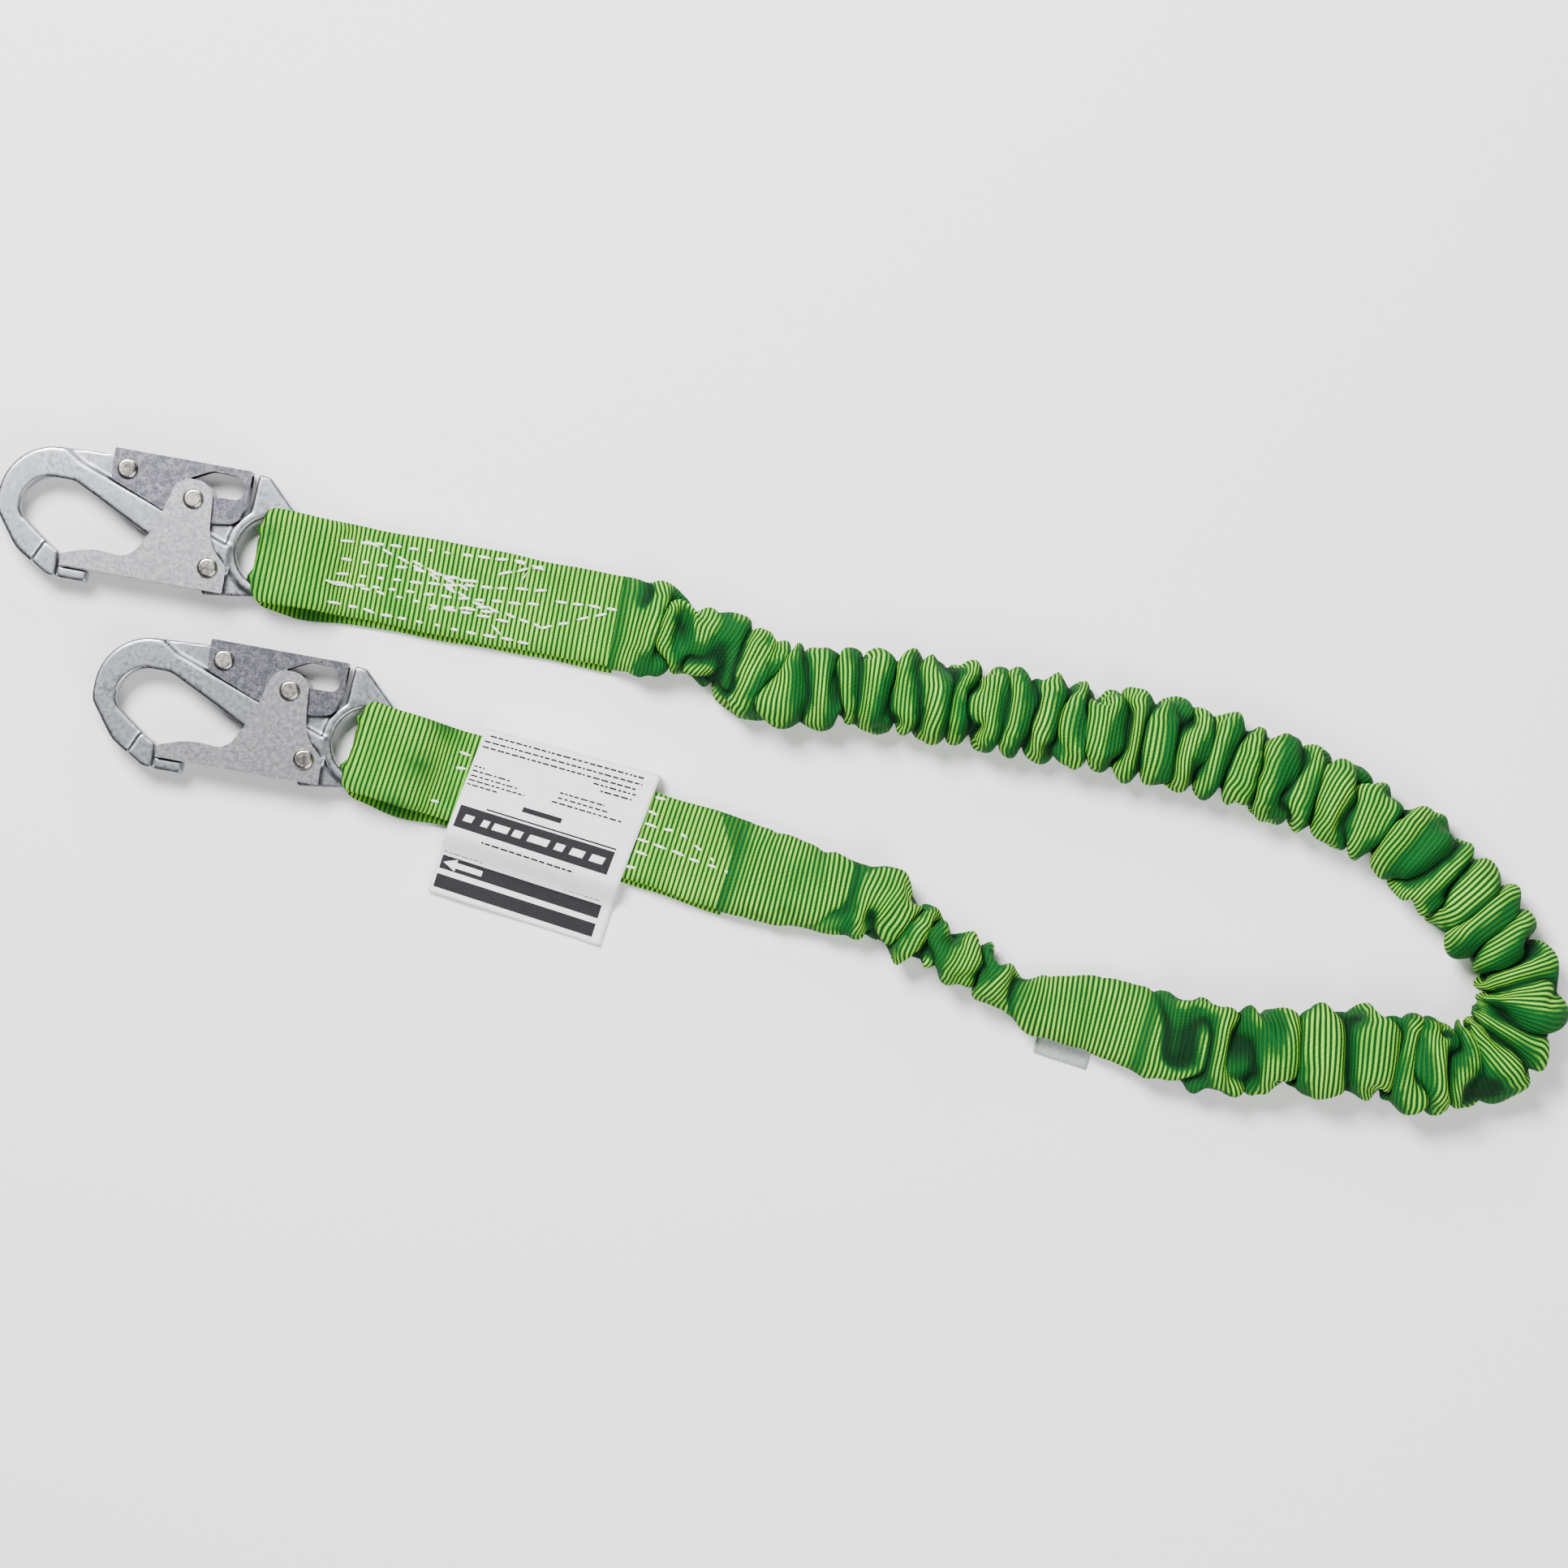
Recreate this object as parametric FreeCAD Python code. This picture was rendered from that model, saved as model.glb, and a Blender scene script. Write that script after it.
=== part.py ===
import FreeCAD, Part

import math
import os

# Shock absorbing lanyard: a gathered webbing jacket over an energy absorbing core, with a sewn loop
# and a double locking snap hook at each end, lying on a flat surface.
#
# Millimetres, +Z up, z = 0 is the surface it lies on. Both hooks point along -X. A hook is drawn in its
# own frame (eye centre at 0, 0, mid-plane at z = 0) and a sewn end in a frame that starts at the same
# eye centre and runs along the webbing. Both are then laid in place.

V = FreeCAD.Vector
UP = V(0, 0, 1)
OUT = "parts"

# ---------------------------------------------------------------- driving dimensions
# Placing: eye centres, and the way each sewn end leaves its eye (degrees from +X)
EYE_A = (-133.0, 62.88)
EYE_B = (-77.8, -10.82)
TURN_A, TURN_B = -0.6, -7.7
LENGTH_A, LENGTH_B = 154.0, 168.0
SIDE_A, SIDE_B = -0.9, -1.2

# Hook, layers out from its mid-plane
WEB_HALF, EYE_HALF, BOW_HALF, NOSE_HALF = 3.2, 4.0, 4.7, 6.6
LEVER_IN, LEVER_OUT, LEVER_HEAD = 5.0, 6.6, 8.4
GATE_IN, GATE_OUT, GATE_HEAD = 6.9, 8.7, 10.6
HOOK_Z = GATE_HEAD

# Hook, in plan
EYE_R, RING_R = 15.6, 19.6
LOCK_PIVOT = (-67.0, 24.8)
GATE_PIVOT = (-25.6, -11.1)
CROSS_PIN = (-36.7, 17.0)
CROSS_PIN_OPEN = (-27.1, 25.4)
PIN_R, HEAD_R, RUNNING = 2.5, 4.5, 0.06

# Webbing
WIDTH, PLY, SKIN, SLACK = 40.0, 4.2, 1.1, 0.3
LOOP_IN, LOOP_WIDE = 4.6, 28.0
LOOP_FOLD, SWING_AT = 3.1, 17.5
PLY_START = 27.0
TUBE_WIDE, TUBE_HIGH, TUBE_CORNER, TUBE_WALL = 37.0, 24.0, 10.0, 2.0
CORE_WIDE, CORE_HIGH = 28.0, 5.0
STITCH_LONG, STITCH_WIDE, STITCH_HIGH = 5.4, 1.0, 0.5

# Centreline of the gathered jacket, from the first eye's centre
ROUTE = [
    (154.3, -3.0), (189.0, -3.4), (219.9, -18.8), (259.5, -11.1), (305.8, -11.0),
    (359.4, -11.6), (409.2, -12.4), (454.4, -19.9), (491.8, -30.5), (526.4, -49.7),
    (561.4, -81.6), (563.7, -108.3), (545.6, -128.3), (498.3, -127.0), (456.9, -136.1),
    (414.9, -136.9), (380.0, -132.0), (351.4, -135.4), (326.7, -119.5), (298.9, -111.0),
    (277.3, -100.3), (249.3, -101.75), (221.6, -98.0),
]


# ---------------------------------------------------------------- helpers
def rounded_wire(corners):
    """Closed wire through (x, y, radius) corners, each corner a tangent arc."""
    count = len(corners)
    starts, ends, middles = [], [], []
    for i, (x, y, radius) in enumerate(corners):
        here = V(x, y, 0)
        into = (here - V(corners[i - 1][0], corners[i - 1][1], 0)).normalize()
        after = corners[(i + 1) % count]
        away = (V(after[0], after[1], 0) - here).normalize()
        turn = into.getAngle(away)
        if radius <= 0 or turn < 0.001:
            starts.append(here)
            ends.append(here)
            middles.append(None)
            continue
        reach = radius * math.tan(turn / 2)
        inward = (away - into).normalize()
        starts.append(here - into * reach)
        ends.append(here + away * reach)
        middles.append(here + inward * (radius / math.cos(turn / 2) - radius))
    edges = []
    for i in range(count):
        if middles[i] is not None:
            edges.append(Part.Arc(starts[i], middles[i], ends[i]).toShape())
        following = starts[(i + 1) % count]
        if ends[i].distanceToPoint(following) > 0.0001:
            edges.append(Part.LineSegment(ends[i], following).toShape())
    return Part.Wire(edges)


def slab(corners, low, high):
    """The rounded outline as a solid from z = low to z = high."""
    face = Part.Face(rounded_wire(corners))
    face.translate(UP * low)
    return face.extrude(UP * (high - low))


def drum(centre, radius, low, high):
    return Part.makeCylinder(radius, high - low, V(centre[0], centre[1], low))


def with_twin(shape):
    """The shape and its mirror image on the other side of the hook's mid-plane."""
    return [shape, shape.mirror(V(0, 0, 0), UP)]


def join(shapes):
    whole = shapes[0].fuse(shapes[1:]) if len(shapes) > 1 else shapes[0]
    return whole.removeSplitter()


def lay(shape, place):
    """A copy of a shape, or of a list of them, moved to a place."""
    if isinstance(shape, list):
        return [lay(each, place) for each in shape]
    copy = shape.copy()
    copy.Placement = place.multiply(copy.Placement)
    return copy


def save(name, shape):
    solids = shape if isinstance(shape, list) else shape.Solids
    for solid in solids:
        assert solid.isValid() and solid.Volume > 0, name
    whole = solids[0] if len(solids) == 1 else Part.makeCompound(solids)
    whole.exportStep(os.path.join(OUT, name + ".step"))


# ---------------------------------------------------------------- snap hook
def hook_body():
    """Forged body: bow, sloping bar, nose, eye ring and the horn beside the lock lever."""
    web = slab([
        (-99, 28.9, 0), (-75, 30.2, 2), (-62, 28.4, 5), (-52, 14, 5), (-44, 9.4, 4),
        (-20, 9.4, 6), (-12.2, 15, 6), (-11, 32.4, 1), (-6, 31.8, 1.5), (8.2, 17.8, 0),
        (-1.6, -19.5, 0), (-26.8, -23, 1.5), (-28.2, -16, 2), (-36, -10.5, 2), (-52, -2.8, 0),
        (-66.8, 4.8, 0), (-88, 15.4, 0), (-99, 20, 0),
    ], -WEB_HALF, WEB_HALF)
    bow = slab([
        (-76.5, -26.6, 0.8), (-88, -26.6, 8), (-97, -24.6, 14), (-109, -17, 14), (-120.3, -1.5, 8),
        (-120.3, 29, 24), (-94.5, 29, 2), (-87, 24, 8), (-50, 10.7, 8), (-18, -0.6, 0),
        (-18, -12, 0), (-29, -13.5, 4), (-52.3, -2.6, 6), (-66.8, 4.8, 30), (-88.7, 15.6, 10),
        (-110, 15.6, 13.4), (-110, -1.6, 6), (-89.8, -16.2, 1), (-89.8, -21.4, 0.8),
        (-76.5, -21.4, 0.6),
    ], -BOW_HALF, BOW_HALF)
    nose = slab([
        (-89.8, -15.6, 0.5), (-89.8, -26.5, 0.5), (-94, -25.9, 1), (-101, -21.5, 1),
        (-96.5, -11.9, 1),
    ], -NOSE_HALF, NOSE_HALF)
    horn = slab([
        (-11.8, 13, 0), (-11, 32.4, 1), (-6, 31.8, 1.5), (8.2, 17.8, 0), (0, 10, 0),
    ], -EYE_HALF, EYE_HALF)
    ring = drum((0, 0), RING_R, -EYE_HALF, EYE_HALF)
    body = join([web, bow, nose, horn, ring])
    body = body.cut(drum((0, 0), EYE_R, -10, 10))
    body = body.cut(drum(LOCK_PIVOT, PIN_R, -10, 10))
    body = body.cut(drum(GATE_PIVOT, PIN_R, -10, 10))
    body = body.cut(drum(GATE_PIVOT, 6.2, 2.4, 10))
    return body.cut(drum(LOCK_PIVOT, 5.6, 1.0, 10)).removeSplitter()


def gate():
    """Channel with a tall ear on each side; its back bridges the two sides below the nose gap."""
    cheek = slab([
        (-88.5, -21, 0.6), (-88.3, -15.9, 1.5), (-76, -11.6, 30), (-59.5, -13, 9), (-50.5, 3, 20),
        (-44.6, 25, 8), (-29.2, 25.6, 8), (-27.4, 4, 25), (-24.6, -3, 10), (-17.8, -9.5, 3),
        (-17.6, -21, 0.6),
    ], GATE_IN, GATE_OUT)
    back = slab([
        (-88.5, -21, 0.6), (-88.5, -19.2, 0), (-29.5, -19.2, 0), (-29.5, -21, 0),
    ], -GATE_OUT, GATE_OUT)
    shape = join(with_twin(cheek) + [back])
    shape = shape.cut(drum(GATE_PIVOT, PIN_R + RUNNING, -10, 10))
    return shape.cut(drum(CROSS_PIN, PIN_R, -10, 10)).removeSplitter()


def lock_lever():
    """Channel over the top of the body, with a window for the gate's cross rivet to travel in."""
    cheek = slab([
        (-73.7, 33, 0.8), (-73.4, 19.5, 3), (-49.7, 10.2, 3), (-26, 8, 3), (-16.6, 9.6, 5),
        (-13.8, 20, 8), (-13.8, 33, 0.8),
    ], LEVER_IN, LEVER_OUT)
    window = slab([
        (-40.5, 25.2, 1), (-31, 30.2, 8), (-16, 29.8, 5), (-16.4, 19.6, 3.5), (-33.5, 19.2, 1),
    ], LEVER_IN - 1, LEVER_OUT + 1)
    along = V(CROSS_PIN_OPEN[0] - CROSS_PIN[0], CROSS_PIN_OPEN[1] - CROSS_PIN[1], 0).normalize()
    across = V(-along.y, along.x, 0) * (PIN_R + 0.8)
    start, end = V(*CROSS_PIN, 0), V(*CROSS_PIN_OPEN, 0)
    corners = [start + across, end + across, end - across, start - across]
    track = slab([(c.x, c.y, 0) for c in corners], LEVER_IN - 1, LEVER_OUT + 1)
    notch = drum(CROSS_PIN, PIN_R + 0.8, LEVER_IN - 1, LEVER_OUT + 1)
    cheek = cheek.cut([window, track, notch])
    roof = slab([
        (-73.7, 33, 0.8), (-73.7, 31.4, 0), (-13.8, 31.4, 0), (-13.8, 33, 0.8),
    ], -LEVER_OUT, LEVER_OUT)
    shape = join(with_twin(cheek) + [roof])
    return shape.cut(drum(LOCK_PIVOT, PIN_R + RUNNING, -10, 10)).removeSplitter()


def rivet(centre, under_head, head_top):
    """Pin with a domed head at each end."""
    pin = drum(centre, PIN_R, -under_head, under_head)
    head = drum(centre, HEAD_R, under_head, head_top)
    rim = [e for e in head.Edges if abs(e.CenterOfMass.z - head_top) < 0.01]
    head = head.makeFillet(head_top - under_head - 0.5, rim)
    return join([pin] + with_twin(head))


def torsion_spring(centre, low, turns, pitch, coil_r, wire_r, leg_end):
    """Round wire coil about a pivot, with one straight leg out to the part it pushes."""
    base = V(centre[0], centre[1], low + wire_r)
    coil = Part.makeLongHelix(pitch, pitch * turns, coil_r)
    coil.translate(base)
    angle = 2 * math.pi * turns
    top = base + V(coil_r * math.cos(angle), coil_r * math.sin(angle), pitch * turns)
    profile = Part.Wire(Part.makeCircle(wire_r, base + V(coil_r, 0, 0), V(0, 1, 0)))
    wound = Part.Wire(coil.Edges).makePipeShell([profile], True, True)
    tip = V(leg_end[0], leg_end[1], top.z)
    leg = Part.makeCylinder(wire_r * 0.98, (tip - top).Length, top, tip - top)
    elbow = Part.makeSphere(wire_r, top)
    return join([wound, elbow, leg])


def loop_turn():
    """Webbing where it turns round the eye's end bar: it swings with the hook."""
    outer = LOOP_IN + PLY
    left, right = LOOP_FOLD, SWING_AT
    band = slab([
        (left - outer, -outer, outer - 0.01), (right + outer, -outer, outer - 0.01),
        (right + outer, outer, outer - 0.01), (left - outer, outer, outer - 0.01),
    ], -LOOP_WIDE / 2, LOOP_WIDE / 2)
    hole = slab([
        (left - LOOP_IN, -LOOP_IN, LOOP_IN - 0.01), (right + LOOP_IN, -LOOP_IN, LOOP_IN - 0.01),
        (right + LOOP_IN, LOOP_IN, LOOP_IN - 0.01), (left - LOOP_IN, LOOP_IN, LOOP_IN - 0.01),
    ], -LOOP_WIDE, LOOP_WIDE)
    turn = band.cut(hole)
    turn.rotate(V(0, 0, 0), V(1, 0, 0), 90)
    return turn


# ---------------------------------------------------------------- sewn ends
def ribbon(profile, width, side=0.0):
    """A strip whose (along, height) section is swept across the webbing."""
    strip = slab([(u, z, 0) for u, z in profile], -width / 2, width / 2)
    strip.rotate(V(0, 0, 0), V(1, 0, 0), 90)
    strip.translate(V(0, side, 0))
    return strip


def upper_ply_section(length, inset):
    """Leaves the loop's turn on a slope, then lies on the lower ply. inset shrinks it all round."""
    lean = math.radians(60)
    radius = LOOP_IN + PLY - inset
    flat_top = 2 * PLY + 0.1 - inset
    flat_low = PLY + 0.1 + inset
    under = LOOP_IN + inset
    start, end = PLY_START + inset * 1.5, length - inset

    def slope_height(u, reach):
        return HOOK_Z + (reach - (u - SWING_AT) * math.cos(lean)) / math.sin(lean)

    def slope_meets(height, reach):
        return SWING_AT + (reach - (height - HOOK_Z) * math.sin(lean)) / math.cos(lean)

    return [
        (start, slope_height(start, radius)), (slope_meets(flat_top, radius), flat_top),
        (end, flat_top), (end, flat_low), (slope_meets(flat_low, under), flat_low),
        (start, slope_height(start, under)),
    ]


def upper_ply(length):
    """Flattened tubular jacket, hollow for its core."""
    skin = ribbon(upper_ply_section(length, 0), WIDTH)
    return skin.cut(ribbon(upper_ply_section(length, SKIN), WIDTH - 4))


def lower_ply(length):
    """The same webbing coming back under the hook; it lies a little to one side of the upper ply."""
    box = [(PLY_START, 0), (length, 0), (length, PLY), (PLY_START, PLY)]
    inner = [(PLY_START + 1, SKIN), (length - 1, SKIN), (length - 1, PLY - SKIN),
             (PLY_START + 1, PLY - SKIN)]
    return ribbon(box, WIDTH, -2.5).cut(ribbon(inner, WIDTH - 4, -2.5))


def end_cores(length):
    """Core strip in each ply."""
    upper = ribbon(upper_ply_section(length, SKIN + SLACK), WIDTH - 7)
    lower = ribbon([
        (PLY_START + 1.5, SKIN + SLACK), (length - 1.5, SKIN + SLACK),
        (length - 1.5, PLY - SKIN - SLACK), (PLY_START + 1.5, PLY - SKIN - SLACK),
    ], WIDTH - 7, -2.5)
    return [upper, lower]


def stitch_line(start, end, top):
    """A straight run of separate stitches lying on the upper ply."""
    a, b = V(start[0], start[1], top), V(end[0], end[1], top)
    run = b - a
    count = max(1, int(run.Length / (STITCH_LONG * 1.45)))
    angle = math.degrees(math.atan2(run.y, run.x))
    stitches = []
    for i in range(count):
        stitch = Part.makeBox(STITCH_LONG, STITCH_WIDE, STITCH_HIGH, V(0, -STITCH_WIDE / 2, 0))
        stitch.rotate(V(0, 0, 0), UP, angle)
        stitch.translate(a + run * (i / count))
        stitches.append(stitch)
    return stitches


def stitching_a():
    top = 2 * PLY + 0.1
    rows = [
        ((40, 13.2), (118, 15.6)), ((40, 6.2), (106, 8.4)), ((40, -1.8), (122, 0.4)),
        ((40, -7.2), (110, -6.4)), ((40, -14.6), (118, -15.6)),
        ((126, 3.9), (150, 3.9)), ((124, -6.6), (148, 1.6)),
    ]
    return [each for start, end in rows for each in stitch_line(start, end, top)]


def stitching_b():
    """Short rows that show on each side of the label."""
    top = 2 * PLY + 0.1
    rows = [
        ((126, 7.4), (160, -2.6)), ((125, -3.8), (158, -6.6)),
        ((125.6, 18.4), (132, 18.4)), ((125.6, 12.4), (132, 12.4)), ((126.4, -13.5), (133, -13.5)),
        ((40, 8), (44, 8)), ((40, 2), (44, 2)), ((40, -4), (44, -4)), ((40, -10), (44, -10)),
    ]
    return [each for start, end in rows for each in stitch_line(start, end, top)]


def label():
    """One vinyl sheet folded round the webbing's far edge, both flaps hanging past the near edge."""
    top = 2 * PLY + 0.1 + 0.7
    fold, wall = WIDTH / 2 + 0.5, 0.5
    section = [
        (fold + wall, -0.6), (fold + wall, top + wall), (-WIDTH / 2 - 3.5, top + wall),
        (-WIDTH / 2 - 11, 1.7), (-53.5, 0.9), (-53.5, 0.4), (-WIDTH / 2 - 11.2, 1.2),
        (-WIDTH / 2 - 3.9, top), (fold, top), (fold, -0.1), (-54.5, -0.1), (-54.5, -0.6),
    ]
    sheet = slab([(v, z, 0) for v, z in section], 0, 78)
    sheet.rotate(V(0, 0, 0), V(0, 1, 0), 90)
    sheet.rotate(V(0, 0, 0), V(1, 0, 0), 90)
    return sheet


# ---------------------------------------------------------------- gathered middle
def route_wire(height):
    """Straight runs joined by tangent arcs, at one height; also returns the smallest radius."""
    points = [V(EYE_A[0] + x, EYE_A[1] + y, height) for x, y in ROUTE]
    edges, radii = [], []
    last = points[0]
    for before, here, after in zip(points, points[1:], points[2:]):
        into, away = (here - before), (after - here)
        turn = into.getAngle(away)
        shorter = min(into.Length, away.Length)
        radius = 0.45 * shorter / math.tan(turn / 2)
        reach = 0.45 * shorter
        into.normalize()
        away.normalize()
        start, end = here - into * reach, here + away * reach
        inward = (away - into).normalize()
        middle = here + inward * (radius / math.cos(turn / 2) - radius)
        edges.append(Part.LineSegment(last, start).toShape())
        edges.append(Part.Arc(start, middle, end).toShape())
        radii.append(round(radius, 1))
        last = end
    edges.append(Part.LineSegment(last, points[-1]).toShape())
    return Part.Wire(edges), radii


def flat_tube(wide, high, corner, wire):
    """A rounded flat section swept along the route, standing square to it at its start."""
    start = wire.Edges[0].Vertexes[0].Point
    ahead = wire.Edges[0].tangentAt(wire.Edges[0].FirstParameter)
    w, h = wide / 2, high / 2
    section = rounded_wire([(-w, -h, corner), (w, -h, corner), (w, h, corner), (-w, h, corner)])
    section.rotate(V(0, 0, 0), V(1, 0, 0), 90)
    section.rotate(V(0, 0, 0), UP, math.degrees(math.atan2(ahead.y, ahead.x)) + 90)
    section.translate(start)
    sweep = Part.BRepOffsetAPI.MakePipeShell(wire)
    sweep.setBiNormalMode(UP)
    sweep.add(section)
    sweep.build()
    sweep.makeSolid()
    return sweep.shape()


def gathered_jacket():
    wire, radii = route_wire(TUBE_HIGH / 2)
    outer = flat_tube(TUBE_WIDE, TUBE_HIGH, TUBE_CORNER, wire)
    inner = flat_tube(TUBE_WIDE - 2 * TUBE_WALL, TUBE_HIGH - 2 * TUBE_WALL, TUBE_CORNER - TUBE_WALL, wire)
    square = TUBE_WIDE * TUBE_HIGH - (4 - math.pi) * TUBE_CORNER ** 2
    print("centreline", round(wire.Length, 1), "radii", radii)
    print("tube volume", round(outer.Volume), "section x length", round(square * wire.Length))
    return outer.cut(inner)


def shock_core():
    wire, radii = route_wire(TUBE_HIGH / 2)
    return flat_tube(CORE_WIDE, CORE_HIGH, CORE_HIGH / 2 - 0.01, wire)


def sewn_in_tag():
    """Small folded tag under the gathered webbing."""
    tag = Part.makeBox(24, 9.4, 0.6, V(0, 0, 0))
    tag.rotate(V(0, 0, 0), UP, -9)
    tag.translate(V(EYE_A[0] + 361, EYE_A[1] - 155.0, 0))
    return tag


# ---------------------------------------------------------------- assembly
os.makedirs(OUT, exist_ok=True)

for side, eye, turn in (("a", EYE_A, TURN_A), ("b", EYE_B, TURN_B)):
    hook_place = FreeCAD.Placement(V(eye[0], eye[1], HOOK_Z), FreeCAD.Rotation(UP, 0))
    loop_place = FreeCAD.Placement(V(eye[0], eye[1], HOOK_Z), FreeCAD.Rotation(UP, turn))
    save("hook_" + side + "_body", lay(hook_body(), hook_place))
    save("hook_" + side + "_gate", lay(gate(), hook_place))
    save("hook_" + side + "_lock_lever", lay(lock_lever(), hook_place))
    save("hook_" + side + "_lock_rivet", lay(rivet(LOCK_PIVOT, LEVER_OUT, LEVER_HEAD), hook_place))
    save("hook_" + side + "_gate_rivet", lay(rivet(GATE_PIVOT, GATE_OUT, GATE_HEAD), hook_place))
    save("hook_" + side + "_cross_rivet", lay(rivet(CROSS_PIN, GATE_OUT, GATE_HEAD), hook_place))
    gate_spring = torsion_spring(GATE_PIVOT, 2.6, 3.25, 1.0, 4.3, 0.4, (-46, -18.4))
    lock_spring = torsion_spring(LOCK_PIVOT, 1.2, 3, 0.95, 3.9, 0.35, (-48, 30.6))
    save("hook_" + side + "_gate_spring", lay(gate_spring, hook_place))
    save("hook_" + side + "_lock_spring", lay(lock_spring, hook_place))
    save("end_" + side + "_loop_turn", lay(loop_turn(), loop_place))

for side, eye, turn, length, offset, raised in (
        ("a", EYE_A, TURN_A, LENGTH_A, SIDE_A, 0.0), ("b", EYE_B, TURN_B, LENGTH_B, SIDE_B, 0.6)):
    direction = FreeCAD.Rotation(UP, turn)
    shift = direction.multVec(V(0, offset, 0))
    place = FreeCAD.Placement(V(eye[0], eye[1], raised) + shift, direction)
    save("end_" + side + "_upper_ply", lay(upper_ply(length), place))
    save("end_" + side + "_lower_ply", lay(lower_ply(length), place))
    save("end_" + side + "_core", lay(end_cores(length), place))
    sewing = stitching_a() if side == "a" else stitching_b()
    save("end_" + side + "_stitching", lay(sewing, place))
    if side == "b":
        along = direction.multVec(V(44, 0, 0))
        save("label", lay(label(), FreeCAD.Placement(place.Base + along, direction)))

save("gathered_jacket", gathered_jacket())
save("shock_core", shock_core())
save("sewn_in_tag", sewn_in_tag())
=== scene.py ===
import math
from collections import namedtuple

import bpy
import numpy as np
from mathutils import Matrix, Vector


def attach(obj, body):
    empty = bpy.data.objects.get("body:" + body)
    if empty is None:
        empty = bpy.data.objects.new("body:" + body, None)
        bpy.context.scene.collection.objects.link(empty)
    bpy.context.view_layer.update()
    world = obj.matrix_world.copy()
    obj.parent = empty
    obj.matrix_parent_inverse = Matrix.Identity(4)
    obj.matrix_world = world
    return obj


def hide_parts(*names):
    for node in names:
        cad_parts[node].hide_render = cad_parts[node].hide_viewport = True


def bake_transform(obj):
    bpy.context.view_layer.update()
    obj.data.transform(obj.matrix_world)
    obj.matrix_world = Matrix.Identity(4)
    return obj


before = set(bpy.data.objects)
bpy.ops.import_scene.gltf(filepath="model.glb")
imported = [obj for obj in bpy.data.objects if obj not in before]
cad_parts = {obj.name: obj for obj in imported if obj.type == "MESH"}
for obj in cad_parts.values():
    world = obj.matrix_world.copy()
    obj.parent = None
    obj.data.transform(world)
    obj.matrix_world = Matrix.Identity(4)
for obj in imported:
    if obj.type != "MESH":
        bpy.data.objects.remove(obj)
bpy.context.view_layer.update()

TAU = 2 * math.pi

# Metres, +Z up, z = 0 is the surface it lies on. Each sewn end has a frame of its own, as in the CAD
# source: u runs from the centre of the hook's eye along the webbing, and v across it. shift is the upper
# ply's place across, and raised is how far the lower ply stands off the floor.
End = namedtuple("End", "side eye turn length shift raised")
END_A = End("a", (-0.1330, 0.06288), math.radians(-0.6), 0.154, -0.0009, 0.0)
END_B = End("b", (-0.0778, -0.01082), math.radians(-7.7), 0.168, -0.0012, 0.0006)
HOOK_Z = 0.0106
LOOP_IN = 0.0046
PLY, PLY_GAP, WIDTH = 0.0042, 0.0003, 0.040

VIEW_TURN = math.radians(10.2)
VIEW_CENTRE = (0.1015, 0.0042)
VIEW_WIDE = 0.678
CAMERA_HIGH = 2.6
SENSOR = 36.0


# ------------------------------------------------------------------ camera
def add_camera():
    data = bpy.data.cameras.new("camera")
    data.lens = SENSOR * CAMERA_HIGH / VIEW_WIDE
    data.sensor_width = SENSOR
    camera = bpy.data.objects.new("camera", data)
    camera.location = (*VIEW_CENTRE, CAMERA_HIGH)
    camera.rotation_euler = (0, 0, VIEW_TURN)
    bpy.context.scene.collection.objects.link(camera)
    bpy.context.scene.camera = camera


add_camera()


# ------------------------------------------------------------------ helpers
def ease(value, start, end):
    """Smooth step from 0 at start to 1 at end."""
    share = min(max((value - start) / (end - start), 0.0), 1.0)
    return share * share * (3 - 2 * share)


def to_world(end, u, v):
    """World x and y of a place in an end's own frame, for numbers and for arrays."""
    c, d = math.cos(end.turn), math.sin(end.turn)
    return u * c - v * d + end.eye[0], u * d + v * c + end.eye[1]


def new_mesh(name, verts, faces, smooth=True):
    mesh = bpy.data.meshes.new(name)
    mesh.from_pydata([tuple(map(float, v)) for v in verts], [], [tuple(map(int, f)) for f in faces])
    mesh.update()
    mesh.polygons.foreach_set("use_smooth", np.full(len(mesh.polygons), smooth))
    obj = bpy.data.objects.new(name, mesh)
    bpy.context.scene.collection.objects.link(obj)
    return obj


def grid_faces(rows, cols, wrap):
    """Quads of a rows x cols grid of vertices, closed round the columns when wrap is set."""
    last = cols if wrap else cols - 1
    i, j = np.meshgrid(np.arange(rows - 1), np.arange(last), indexing="ij")
    k = (j + 1) % cols
    quads = np.stack([i * cols + j, i * cols + k, (i + 1) * cols + k, (i + 1) * cols + j], -1)
    return quads.reshape(-1, 4)


def set_uv(obj, uv_per_vertex, wrap_v=None):
    """One UV per vertex, in metres of fabric. wrap_v is the length round a closed section of quads."""
    mesh = obj.data
    layer = mesh.uv_layers.new(name="fabric")
    index = np.empty(len(mesh.loops), int)
    mesh.loops.foreach_get("vertex_index", index)
    uv = np.asarray(uv_per_vertex, float)[index]
    if wrap_v:
        quads = uv[:, 1].reshape(-1, 4)
        crosses_seam = quads.max(1) - quads.min(1) > wrap_v * 0.5
        behind_seam = crosses_seam[:, None] & (quads < wrap_v * 0.5)
        uv[:, 1] = np.where(behind_seam, quads + wrap_v, quads).reshape(-1)
    layer.data.foreach_set("uv", uv.astype(np.float32).ravel())


def wrapped_uv(along, cols, wrap_v):
    """UV of a tube's grid: along is one distance per row or per vertex, and v goes round the section."""
    rows = len(along)
    uv = np.zeros((rows, cols, 2))
    uv[..., 0] = along
    uv[..., 1] = np.arange(cols)[None, :] / cols * wrap_v
    return uv


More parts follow.
